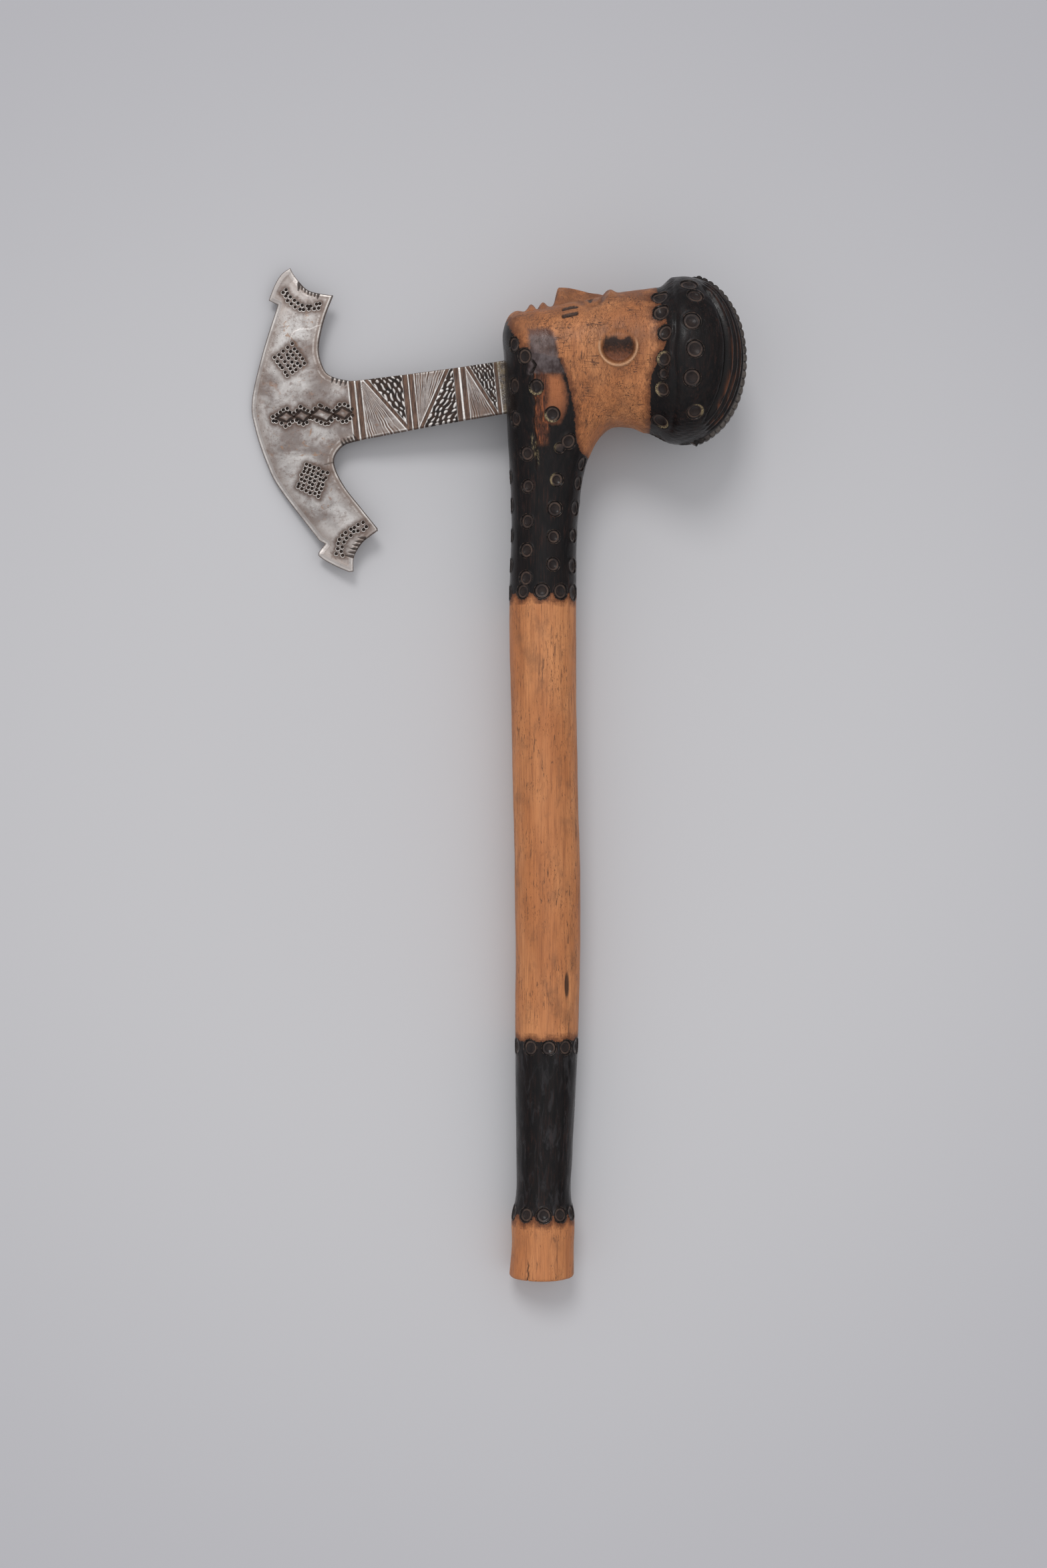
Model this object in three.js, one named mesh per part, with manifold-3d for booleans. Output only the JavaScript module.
// Ceremonial axe: a carved wooden haft that ends in a head, and a forged iron blade whose tang is
// burnt into the jaw side of that head.
// The haft is drawn upright, in millimetres: X from the blade towards the crown of the head, Y up
// the haft, Z across it, with the haft's axis at the butt as origin. The finished part then lies
// down on the floor the way the real one rests, with the middle of its underside as origin.

import * as THREE from "three";
import { ConvexHull } from "three/addons/math/ConvexHull.js";
import { mergeVertices } from "three/addons/utils/BufferGeometryUtils.js";
import Module from "manifold-3d";

// Lengths of the haft's zones, from the butt up
const buttBand = 26;
const shoulder = 6;
const lowerBurnt = 67;
const plainGrip = 186;
const upperBurnt = 55;

// Half widths of the haft along those zones
const buttRadius = 13.4;
const bandRadius = 13;
const waistRadius = 11.8;
const lowGripRadius = 12.7;
const gripRadius = 13.6;
const collarRadius = 14;
const gripBow = 2.1;
const buttEdge = 1.5;

// Head, from the haft's axis and from the top of the upper burnt zone
const chinReach = 16.5;
const chinHeight = 61;
const faceLength = 63.5;
const foreheadHeight = 74;
const napeHeight = 16;
const jawHalf = 23.5;
const templeHalf = 26;

// Hair cap, which grows out of the head at the hairline, and its comb of scallops
const capReach = 25;
const capFront = 20;
const capDepth = 35;
const capHalf = 31;
const capCentreHeight = 44;
const capOffset = 12;
const capGrowth = 7;
const combHeight = 1.5;
const combWidth = 6;
const combPitch = 3;
const scallopDepth = 0.55;

// Grooves and ridges that run over the crown on both sides of the comb, each with its distance
// from the comb and its height
const crownRidges = [
  [6.6, -1],
  [8.8, 0.4],
  [10.7, -0.9],
  [12.8, 0.5],
  [14.8, -0.9],
  [16.8, 0.5],
  [18.6, -0.9],
  [20.6, 0.55],
  [23, -1.5],
];

// Ears, hollow cups with an open rim
const earAlong = 47.2;
const earHeight = 46;
const earRadius = 7.6;
const earDepth = 3.2;
const earRim = 1.2;
const earLift = 0.7;

// Face, distances from the chin towards the hairline
const mouthAt = 14;
const noseBaseAt = 21.5;
const eyeAt = 37;
const browAt = 43;
const noseProjection = 8.5;
const mouthHalf = 9.4;
const lipHeight = 3.2;
const eyeSpread = 11;
const eyeLength = 6.3;
const eyeOpening = 3.4;

// Blade, from the point where its neck enters the haft
const neckHeight = 33;
const bladeDroop = 9;
const neckHalf = 11;
const neckFlare = 1.4;
const neckLength = 62;
const neckThickness = 4;
const plateThickness = 2.4;
const edgeThickness = 0.7;
const edgeRadius = 77;
const edgeReach = 106.5;
const bevelWidth = 9;
const lowerHorn = 54;
const lowerHornTip = 13.2;
const upperHorn = 51;
const upperHornTip = 19.5;
const waistHalf = 36.8;
const grooveWidth = 1.5;
const grooveDepth = 0.5;
const grooveStep = 2.6;

// Tang and its socket
const seatDepth = 3;
const tangLength = 46;
const tangHalf = 7;
const tangTipHalf = 2;
const clearance = 0.3;

// Densities in grams per cubic millimetre, for the pose that the axe rests in
const woodDensity = 0.00085;
const ironDensity = 0.0078;

// Facets round a section
const sides = 52;

const degrees = Math.PI / 180;
const headBase = buttBand + shoulder + lowerBurnt + plainGrip + upperBurnt;
const chinX = -chinReach;
const hairlineX = chinX + faceLength;

const woodMaterial = new THREE.MeshStandardMaterial({
  color: 0xa8693a,
  roughness: 0.55,
  metalness: 0,
});
const ironMaterial = new THREE.MeshStandardMaterial({
  color: 0x8d8b88,
  roughness: 0.38,
  metalness: 0.9,
});

const wasm = await Module();
wasm.setup();

// Solids and geometries

function solidFrom(geometry) {
  const bare = geometry.clone();
  bare.deleteAttribute("normal");
  bare.deleteAttribute("uv");
  const merged = mergeVertices(bare, 1e-4);
  return new wasm.Manifold(
    new wasm.Mesh({
      numProp: 3,
      vertProperties: new Float32Array(merged.attributes.position.array),
      triVerts: new Uint32Array(merged.index.array),
    }),
  );
}

function geometryFrom(solid) {
  const { vertProperties, triVerts } = solid.getMesh();
  const geometry = new THREE.BufferGeometry();
  geometry.setAttribute("position", new THREE.BufferAttribute(vertProperties, 3));
  geometry.setIndex(new THREE.BufferAttribute(triVerts, 1));
  return geometry;
}

function smoothStep(from, to, value) {
  const t = Math.min(Math.max((value - from) / (to - from), 0), 1);
  return t * t * (3 - 2 * t);
}

function bump(distance, spread) {
  return Math.exp(-((distance / spread) ** 2));
}

// Stations of the haft and face. Each has the outer end of its section, on the blade's side or the
// face, the inner end, on the other side or the nape, the half width across, how far the widest
// place lies towards the outer end, and how square the section is.

function ring(height, centre, radius) {
  return [centre - radius, height, centre + radius, height, radius, 1, 1];
}

function headStation(outerX, outerY, innerX, innerY, half, skew) {
  return [outerX, headBase + outerY, innerX, headBase + innerY, half, skew, 0.86];
}

const waistFoot = buttBand + shoulder;
const gripFoot = waistFoot + lowerBurnt;
const collarFoot = gripFoot + plainGrip;

const stations = [
  ring(buttEdge, -0.5, buttRadius),
  ring(buttBand / 2, 0, bandRadius),
  ring(buttBand, 0.1, bandRadius),
  ring(waistFoot, 0.2, waistRadius),
  ring(waistFoot + lowerBurnt * 0.3, 0.6, waistRadius),
  ring(gripFoot - lowerBurnt * 0.3, 1.2, lowGripRadius),
  ring(gripFoot + plainGrip * 0.25, gripBow, gripRadius),
  ring(gripFoot + plainGrip * 0.7, gripBow * 0.3, gripRadius),
  ring(collarFoot, 0, collarRadius),
  ring(headBase - upperBurnt * 0.4, 0.8, collarRadius),
  headStation(-collarRadius, 0, collarRadius + 4, 0, collarRadius + 1.5, 1),
  headStation(chinX + 1.8, 12, 20.5, 6, 18, 1.04),
  headStation(chinX + 1, 28, 22.6, 10, jawHalf - 2.5, 1.1),
  headStation(chinX + 0.4, 45, 25, 13, jawHalf - 0.5, 1.15),
  headStation(chinX, chinHeight - 5, 27.5, 15, jawHalf, 1.2),
  headStation(chinX + 2, chinHeight, 29.3, napeHeight, jawHalf, 1.2),
  headStation(chinX + 9, chinHeight + 2.5, 31.5, napeHeight + 0.4, jawHalf + 0.6, 1.2),
  headStation(chinX + 24, chinHeight + 5.5, 34.3, napeHeight + 0.4, templeHalf - 1, 1.18),
  headStation(chinX + 44, foreheadHeight - 3, 38, napeHeight, templeHalf, 1.12),
  headStation(hairlineX, foreheadHeight, 42.5, napeHeight - 2, templeHalf, 1.05),
];

const reach = [0];
for (let i = 1; i < stations.length; i += 1) {
  const [ox, oy, ix, iy] = stations[i];
  const [px, py, qx, qy] = stations[i - 1];
  reach.push(reach[i - 1] + (Math.hypot(ox - px, oy - py) + Math.hypot(ix - qx, iy - qy)) / 2);
}

// A cubic through the stations, by distance along the haft.
function stationAt(distance) {
  let i = 0;
  while (i < stations.length - 2 && distance > reach[i + 1]) {
    i += 1;
  }
  const span = reach[i + 1] - reach[i];
  const t = (distance - reach[i]) / span;
  const slope = (k, column) => {
    const last = stations.length - 1;
    const rise = (j) => (stations[j + 1][column] - stations[j][column]) / (reach[j + 1] - reach[j]);
    if (k === 0 || k === last) {
      return rise(k === 0 ? 0 : last - 1);
    }
    const before = reach[k] - reach[k - 1];
    const after = reach[k + 1] - reach[k];
    return (rise(k - 1) * after + rise(k) * before) / (before + after);
  };
  return stations[i].map((_, column) => {
    const a = stations[i][column];
    const b = stations[i + 1][column];
    const h1 = t * t * (3 - 2 * t);
    return (
      a * (1 - h1) +
      b * h1 +
      slope(i, column) * span * t * (1 - t) * (1 - t) -
      slope(i + 1, column) * span * t * t * (1 - t)
    );
  });
}

// One point of a section. The angle runs from the outer end round to the inner one and back.
function sectionPoint([ox, oy, ix, iy, half, skew, square], angle) {
  const across = ((1 - Math.cos(angle)) / 2) ** skew;
  const side = Math.sign(Math.sin(angle)) * Math.abs(Math.sin(angle)) ** square;
  return new THREE.Vector3(ox + (ix - ox) * across, oy + (iy - oy) * across, half * side);
}

// The cap's section at a distance from its widest place, negative towards the hairline. It starts
// as the head's last section and grows into an ellipsoid.
function capStation(along) {
  const x = hairlineX + capOffset + along;
  const middle = headBase + capCentreHeight;
  const front = (1 - Math.max(-along / capFront, 0) ** 2.5) ** 0.4;
  const size = along < 0 ? front : Math.sqrt(1 - (along / capReach) ** 2);
  const own = smoothStep(0, capGrowth, x - hairlineX);
  const headDepth = foreheadHeight - capCentreHeight;
  const depth = headDepth * (1 - own) + capDepth * size * own;
  const half = templeHalf * (1 - own) + capHalf * size * own;
  const lean = 4.5 * (1 - own);
  return [x, middle + depth, x - lean, middle - depth, half, 1.05 - 0.05 * own, 0.86 + 0.14 * own];
}

// How far the carved face stands out from the plain front of the head.
function faceRelief(x, z) {
  const f = x - chinX;
  const side = Math.abs(z);
  const noseRun = Math.min(Math.max((browAt - f) / (browAt - noseBaseAt), 0), 1);
  const nose =
    noseProjection *
    (0.22 + 0.78 * smoothStep(0, 1, noseRun)) *
    smoothStep(-3, 4, browAt - f) *
    smoothStep(-1.4, 1.6, f - noseBaseAt) *
    bump(side, 2.1 + 2.5 * noseRun);
  const wings = 3.3 * bump(side - 4.7, 1.9) * bump(f - noseBaseAt - 2.8, 2.5);
  const mouthFade = Math.max(1 - (side / mouthHalf) ** 2, 0);
  const lips =
    lipHeight * (bump(f - mouthAt - 2.5, 1.9) + bump(f - mouthAt + 2.6, 2.1)) * mouthFade -
    1.2 * bump(f - mouthAt, 0.8) * mouthFade;
  const chin = 2.2 * bump(f - 5, 4.2) * bump(side, 7.5);
  const arch = browAt + 1.4 - 0.024 * (side - eyeSpread) ** 2;
  const brow = 2.2 * bump(f - arch, 2.1) * smoothStep(21, 14, side) * smoothStep(1, 5, side);
  const socket = -3 * bump(f - eyeAt, 5.2) * bump(side - eyeSpread, 6.8);
  const eyeReach = Math.max(1 - ((side - eyeSpread) / eyeLength) ** 2, 0);
  const eyeHalf = eyeOpening * Math.sqrt(eyeReach) + 0.05;
  const round = Math.sqrt(Math.max(1 - ((f - eyeAt) / eyeHalf) ** 2, 0));
  const ball = 2.5 * round * Math.sqrt(eyeReach);
  const cheek = bump(f - 28, 6) * bump(side - 15, 5);
  return nose + wings + lips + chin + brow + socket + ball + cheek;
}

// Closed skin over rows of points, each row a closed loop, with a fan at either end.
function skin(rows, first, last) {
  const points = [first, ...rows.flat(), last];
  const index = [];
  const columns = rows[0].length;
  const at = (row, column) => 1 + row * columns + (column % columns);
  for (let column = 0; column < columns; column += 1) {
    index.push(0, at(0, column + 1), at(0, column));
    for (let row = 0; row < rows.length - 1; row += 1) {
      index.push(at(row, column), at(row + 1, column + 1), at(row + 1, column));
      index.push(at(row, column), at(row, column + 1), at(row + 1, column + 1));
    }
    index.push(at(rows.length - 1, column), at(rows.length - 1, column + 1), points.length - 1);
  }
  const geometry = new THREE.BufferGeometry().setFromPoints(points);
  geometry.setIndex(index);
  return geometry;
}

// Haft with neck, face and cap as one carved body

function bodyGeometry() {
  // Columns lie closer together on the face than on the nape.
  const angles = Array.from({ length: sides }, (_, i) => {
    const turn = (2 * Math.PI * i) / sides;
    return turn - 0.35 * Math.sin(turn);
  });
  const rows = [];
  const foot = stationAt(0);
  for (const lift of [0, 0.3, 0.7]) {
    const shrink = buttEdge * (1 - Math.sin(lift * 90 * degrees));
    const height = buttEdge * (1 - Math.cos(lift * 90 * degrees));
    const [ox, , ix, , radius] = foot;
    rows.push([ox + shrink, height, ix - shrink, height, radius - shrink, 1, 1]);
  }
  const last = stations.length - 1;
  const steps = [1, 1, 3, 2, 2, 3, 3, 2, 2, 2, 3, 3, 3, 3, 2, 3, 7, 11, 11];
  steps.forEach((count, i) => {
    for (let k = 0; k < count; k += 1) {
      rows.push(stationAt(reach[i] + ((reach[i + 1] - reach[i]) * k) / count));
    }
  });
  rows.push(stationAt(reach[last]));
  // Front of the cap; the last row lies within the crown that is joined on.
  const capRows = 6;
  for (let k = 1; k <= capRows; k += 1) {
    rows.push(capStation(-capOffset + (capOffset * k) / capRows));
  }
  const [x, outerY, , innerY, half] = rows.at(-1);
  const inset = 4;
  rows.push([x + inset, outerY - inset, x + inset, innerY + inset, half - inset, 1, 1]);
  const loops = rows.map((row) =>
    angles.map((angle) => {
      const point = sectionPoint(row, angle);
      const front = smoothStep(1.25, 0.7, Math.min(angle, 2 * Math.PI - angle));
      const onFace = smoothStep(chinX - 1, chinX + 3, point.x) * smoothStep(2, 8, point.y - headBase - 50);
      const beforeHair = smoothStep(hairlineX, hairlineX - 4, point.x);
      point.y += faceRelief(point.x, point.z) * front * onFace * beforeHair;
      return point;
    }),
  );
  const inside = new THREE.Vector3(hairlineX + capOffset + capReach / 2, headBase + capCentreHeight, 0);
  return skin(loops, new THREE.Vector3(-0.5, 0, 0), inside);
}

// Crown of the cap, from sections that lie side by side, so that its ridges and grooves run over it
// from the forehead to the nape
function crownGeometry() {
  const foot = crownRidges[0][0] - 1.6;
  const rim = crownRidges.at(-1)[0] + 1.4;
  const outer = [0.3, 0.6, 0.8, 0.92].map((t) => [rim + (capHalf - rim) * t, 0]);
  const halfProfile = [[foot / 2, 0], [foot, 0], ...crownRidges, [rim, 0], ...outer];
  const mirrored = halfProfile.toReversed().map(([across, height]) => [-across, height]);
  const profile = [...mirrored, [0, 0], ...halfProfile];
  const steps = 26;
  const centre = new THREE.Vector3(hairlineX + capOffset, headBase + capCentreHeight, 0);
  const loops = profile.map(([across, height]) => {
    const within = Math.min(Math.abs(across), rim);
    const beyond = Math.max(Math.abs(across) - rim, 0) / (capHalf - rim);
    return Array.from({ length: steps + 1 }, (_, i) => {
      const sweep = (Math.PI * i) / steps;
      const sine = Math.max(Math.sin(sweep), 0);
      const ridged = smoothStep(0.25, 0.55, sweep) * smoothStep(2.85, 2.45, sweep);
      // The ridges draw together towards both ends.
      const gather = 1 + (sine ** 0.3 - 1) * smoothStep(0, 0.4, Math.min(sweep, Math.PI - sweep));
      const z = Math.sign(across) * (within * gather * (1 - beyond) + capHalf * beyond);
      const size = Math.sqrt(1 - (z / capHalf) ** 2);
      const point = new THREE.Vector3(capReach * size * sine, capDepth * size * Math.cos(sweep), z);
      const squares = new THREE.Vector3(capReach ** 2, capDepth ** 2, capHalf ** 2);
      const outward = point.clone().divide(squares).normalize();
      return point.addScaledVector(outward, height * ridged).add(centre);
    });
  });
  const pole = new THREE.Vector3(0, 0, capHalf);
  return skin(loops.toReversed(), centre.clone().add(pole), centre.clone().sub(pole));
}

// Comb of scallops that runs over the crown from the forehead side to the nape
function combGeometry() {
  const from = 12;
  const to = 172;
  const length = ((to - from) * degrees * (capDepth + capReach)) / 2;
  const teeth = Math.round(length / combPitch);
  const shape = new THREE.Shape();
  const place = (turn, lift) => {
    const x = hairlineX + capOffset + (capReach + lift) * Math.sin(turn);
    const y = headBase + capCentreHeight + (capDepth + lift) * Math.cos(turn);
    return [x, y];
  };
  shape.moveTo(hairlineX + capOffset, headBase + capCentreHeight);
  for (let i = 0; i < teeth; i += 1) {
    const a = (from + ((to - from) * i) / teeth) * degrees;
    const b = (from + ((to - from) * (i + 1)) / teeth) * degrees;
    shape.lineTo(...place(a, combHeight - scallopDepth));
    shape.lineTo(...place(a + (b - a) * 0.2, combHeight));
    shape.lineTo(...place(a + (b - a) * 0.8, combHeight));
  }
  shape.lineTo(...place(to * degrees, combHeight - scallopDepth));
  const comb = new THREE.ExtrudeGeometry(shape, { depth: combWidth, bevelEnabled: false });
  return comb.translate(0, 0, -combWidth / 2);
}

// Ear cup, a shallow bowl sunk into the side of the head
function earCup(side) {
  const profile = [new THREE.Vector2(0, -earDepth)];
  for (const t of [0.35, 0.7, 0.92]) {
    profile.push(new THREE.Vector2(earRadius * t, -earDepth * (1 - t * t * 0.6)));
  }
  profile.push(new THREE.Vector2(earRadius, -earDepth * 0.2));
  profile.push(new THREE.Vector2(earRadius, 12));
  profile.push(new THREE.Vector2(0, 12));
  const bowl = new THREE.LatheGeometry(profile, 28);
  return bowl.rotateX(side * 90 * degrees);
}

// Rim of the ear, a part of a ring that opens towards the face
function earRing(side) {
  const shape = new THREE.Shape();
  const open = 150 * degrees;
  const close = 390 * degrees;
  const thick = 5;
  shape.absarc(0, 0, earRadius + earRim, open, close, false);
  shape.absarc(0, 0, earRadius - 0.2, close, open, true);
  const rim = new THREE.ExtrudeGeometry(shape, {
    depth: thick + earLift,
    bevelEnabled: false,
    curveSegments: 24,
  });
  return rim.translate(0, 0, side > 0 ? -thick : -earLift);
}

// Blade frame: u runs out along the neck, v up across it.
const bladeFrame = new THREE.Matrix4().makeBasis(
  new THREE.Vector3(-Math.cos(bladeDroop * degrees), -Math.sin(bladeDroop * degrees), 0),
  new THREE.Vector3(-Math.sin(bladeDroop * degrees), Math.cos(bladeDroop * degrees), 0),
  new THREE.Vector3(0, 0, -1),
);
bladeFrame.setPosition(chinX + 1, headBase + neckHeight, 0);

function bladeShape() {
  const at = (u, v) => new THREE.Vector2(u, v);
  const neckEnd = neckLength;
  const wide = neckHalf + neckFlare;
  const shape = new THREE.Shape();
  shape.moveTo(-seatDepth, -neckHalf);
  shape.lineTo(2, -neckHalf);
  shape.splineThru([at(neckEnd * 0.5, -neckHalf - 0.4), at(neckEnd, -wide)]);
  // Lower half, from the neck to the lower horn
  shape.lineTo(neckEnd + 2.5, -wide - 0.2);
  shape.splineThru([
    at(neckEnd + 9, -wide - 1.2),
    at(neckEnd + 13.5, -wide - 5.5),
    at(neckEnd + 13.8, -wide - 11),
    at(neckEnd + 11, -wide - 19),
    at(neckEnd + 6, -wide - 28),
    at(neckEnd, -wide - 38.5),
  ]);
  shape.splineThru([
    at(neckEnd + 4, -wide - 40.5),
    at(neckEnd + 8, -wide - 43),
    at(neckEnd + lowerHornTip - 1.2, -wide - lowerHorn + 6),
    at(neckEnd + lowerHornTip, -wide - lowerHorn),
  ]);
  shape.lineTo(neckEnd + lowerHornTip + 1.8, -wide - lowerHorn);
  shape.splineThru([
    at(neckEnd + lowerHornTip + 7.3, -wide - lowerHorn + 3.5),
    at(neckEnd + lowerHornTip + 12.3, -wide - lowerHorn + 7.5),
    at(neckEnd + lowerHornTip + 13.3, -wide - lowerHorn + 9.8),
    at(neckEnd + 23, -wide - 40.8),
  ]);
  // Cutting edge
  shape.lineTo(neckEnd + 25.3, -wide - 39);
  shape.splineThru([
    at(neckEnd + 38, -28),
    at(edgeReach - 2.5, -16),
    at(edgeReach, -1),
    at(edgeReach - 0.5, 11),
    at(edgeReach - 8, 30),
    at(neckEnd + 27, wide + waistHalf - 0.2),
  ]);
  // Upper half, from the upper horn back to the neck
  shape.lineTo(neckEnd + 30.5, wide + 39);
  shape.splineThru([
    at(neckEnd + upperHornTip + 7.5, wide + upperHorn - 6),
    at(neckEnd + upperHornTip + 4, wide + upperHorn - 2),
    at(neckEnd + upperHornTip, wide + upperHorn),
  ]);
  shape.splineThru([
    at(neckEnd + upperHornTip - 1.5, wide + upperHorn - 4),
    at(neckEnd + upperHornTip - 5.5, wide + waistHalf + 4.2),
    at(neckEnd + 8.5, wide + waistHalf + 1.5),
    at(neckEnd + 3.5, wide + waistHalf),
  ]);
  shape.splineThru([
    at(neckEnd + 9, wide + 27),
    at(neckEnd + 13, wide + 15.5),
    at(neckEnd + 12, wide + 6.5),
    at(neckEnd + 8.5, wide + 2.8),
    at(neckEnd + 2.5, wide + 0.4),
  ]);
  shape.lineTo(neckEnd, wide);
  shape.splineThru([at(neckEnd * 0.5, neckHalf + 0.4), at(2, neckHalf)]);
  shape.lineTo(-seatDepth, neckHalf);
  return shape;
}

// Thickness of the blade, thinning from the neck to the cutting edge
function bladeLens() {
  const neck = neckThickness / 2;
  const plate = plateThickness / 2;
  const edge = edgeThickness / 2;
  const top = [
    [0, neck],
    [edgeRadius * 0.5, neck],
    [edgeRadius - bevelWidth, plate],
    [edgeRadius, edge],
    [edgeRadius + 2.5, edge],
    [edgeRadius + 8, plate * 0.7],
    [edgeRadius + 40, plate * 0.7],
  ];
  const profile = [
    ...top.map(([r, y]) => new THREE.Vector2(r, -y)),
    ...top.toReversed().map(([r, y]) => new THREE.Vector2(r, y)),
  ];
  const lens = new THREE.LatheGeometry(profile, 160).rotateX(90 * degrees);
  return lens.translate(edgeReach - edgeRadius, 1, 0);
}

function extruded(shape, thickness, curveSegments = 5) {
  const body = new THREE.ExtrudeGeometry(shape, {
    depth: thickness,
    bevelEnabled: false,
    curveSegments,
  });
  return body.translate(0, 0, -thickness / 2);
}

function tangShape(gap) {
  const shape = new THREE.Shape();
  const tip = -seatDepth - tangLength - gap;
  shape.moveTo(1 - seatDepth, -tangHalf - gap);
  shape.lineTo(1 - seatDepth, tangHalf + gap);
  shape.lineTo(tip, tangTipHalf + gap);
  shape.lineTo(tip, -tangTipHalf - gap);
  return shape;
}

// Seat of the neck in the wood, open to the outside
function seatShape(gap) {
  const shape = new THREE.Shape();
  shape.moveTo(12, -neckHalf - gap);
  shape.lineTo(12, neckHalf + gap);
  shape.lineTo(-seatDepth - gap, neckHalf + gap);
  shape.lineTo(-seatDepth - gap, -neckHalf - gap);
  return shape;
}

// Grooves round the neck, in pairs, with a single one where it enters the haft
function neckGrooves() {
  const places = [4];
  for (const middle of [18, 40, neckLength]) {
    places.push(middle - grooveStep / 2, middle + grooveStep / 2);
  }
  return places.flatMap((u) => {
    const edge = neckHalf + (neckFlare * u) / neckLength;
    return [-1, 1].flatMap((side) => [
      new THREE.BoxGeometry(grooveWidth, 4 * neckHalf, 2)
        .translate(u, 0, side * (neckThickness / 2 - grooveDepth + 1)),
      new THREE.BoxGeometry(grooveWidth, 2, 2 * neckThickness)
        .translate(u, side * (edge - grooveDepth + 1), 0),
    ]);
  });
}

// Assembly of the two pieces, still upright

function haftSolid() {
  let solid = solidFrom(bodyGeometry()).add(solidFrom(crownGeometry()));
  for (const side of [-1, 1]) {
    const ear = [chinX + earAlong, headBase + earHeight, side * templeHalf];
    const cup = earCup(side).translate(...ear);
    const rim = earRing(side).translate(...ear);
    solid = solid.add(solidFrom(rim)).subtract(solidFrom(cup));
  }
  solid = solid.add(solidFrom(combGeometry()));
  const slot = neckThickness + 2 * clearance;
  for (const shape of [tangShape(clearance), seatShape(clearance)]) {
    solid = solid.subtract(solidFrom(extruded(shape, slot).applyMatrix4(bladeFrame)));
  }
  return solid;
}

function bladeSolid() {
  const plate = solidFrom(extruded(bladeShape(), neckThickness));
  let solid = plate.intersect(solidFrom(bladeLens()));
  for (const groove of neckGrooves()) {
    solid = solid.subtract(solidFrom(groove));
  }
  const tang = extruded(tangShape(0), neckThickness);
  return solidFrom(geometryFrom(solid.add(solidFrom(tang))).applyMatrix4(bladeFrame));
}

// Rest pose: the facet of the convex hull that the centre of mass stands over becomes the floor.

function weigh(geometry, density) {
  const position = geometry.attributes.position;
  const index = geometry.index.array;
  const corner = (k) => new THREE.Vector3().fromBufferAttribute(position, index[k]);
  const moment = new THREE.Vector3();
  let mass = 0;
  for (let k = 0; k < index.length; k += 3) {
    const [a, b, c] = [corner(k), corner(k + 1), corner(k + 2)];
    const share = (density * a.dot(new THREE.Vector3().crossVectors(b, c))) / 6;
    mass += share;
    moment.addScaledVector(a.add(b).add(c), share / 4);
  }
  return { mass, moment };
}

function floorFacet(geometries, centre) {
  const points = geometries.flatMap((geometry) => {
    const position = geometry.attributes.position;
    return Array.from({ length: position.count }, (_, i) =>
      new THREE.Vector3().fromBufferAttribute(position, i),
    );
  });
  const hull = new ConvexHull().setFromPoints(points);
  const lowest = hull.faces.filter((face) => face.normal.z < -0.3);
  // The underside is convex, so the plane that lies highest below the centre is the one under it.
  const heightOf = ({ normal, constant }) =>
    (constant - normal.x * centre.x - normal.y * centre.y) / normal.z;
  return lowest.reduce((best, face) => (heightOf(face) > heightOf(best) ? face : best));
}

const haft = geometryFrom(haftSolid());
const blade = geometryFrom(bladeSolid());
const weights = [weigh(haft, woodDensity), weigh(blade, ironDensity)];
const centre = weights[0].moment.clone().add(weights[1].moment);
centre.divideScalar(weights[0].mass + weights[1].mass);
const facet = floorFacet([haft, blade], centre);
const lay = new THREE.Quaternion().setFromUnitVectors(facet.normal, new THREE.Vector3(0, 0, -1));
for (const geometry of [haft, blade]) {
  geometry.applyQuaternion(lay);
}
const box = new THREE.Box3();
for (const geometry of [haft, blade]) {
  geometry.computeBoundingBox();
  box.union(geometry.boundingBox);
}
const middle = box.getCenter(new THREE.Vector3());
for (const geometry of [haft, blade]) {
  geometry.translate(-middle.x, -middle.y, -box.min.z);
  geometry.computeVertexNormals();
}

const haftMesh = new THREE.Mesh(haft, woodMaterial);
haftMesh.name = "haft";
const bladeMesh = new THREE.Mesh(blade, ironMaterial);
bladeMesh.name = "blade";

const group = new THREE.Group();
group.add(haftMesh, bladeMesh);

export default group;
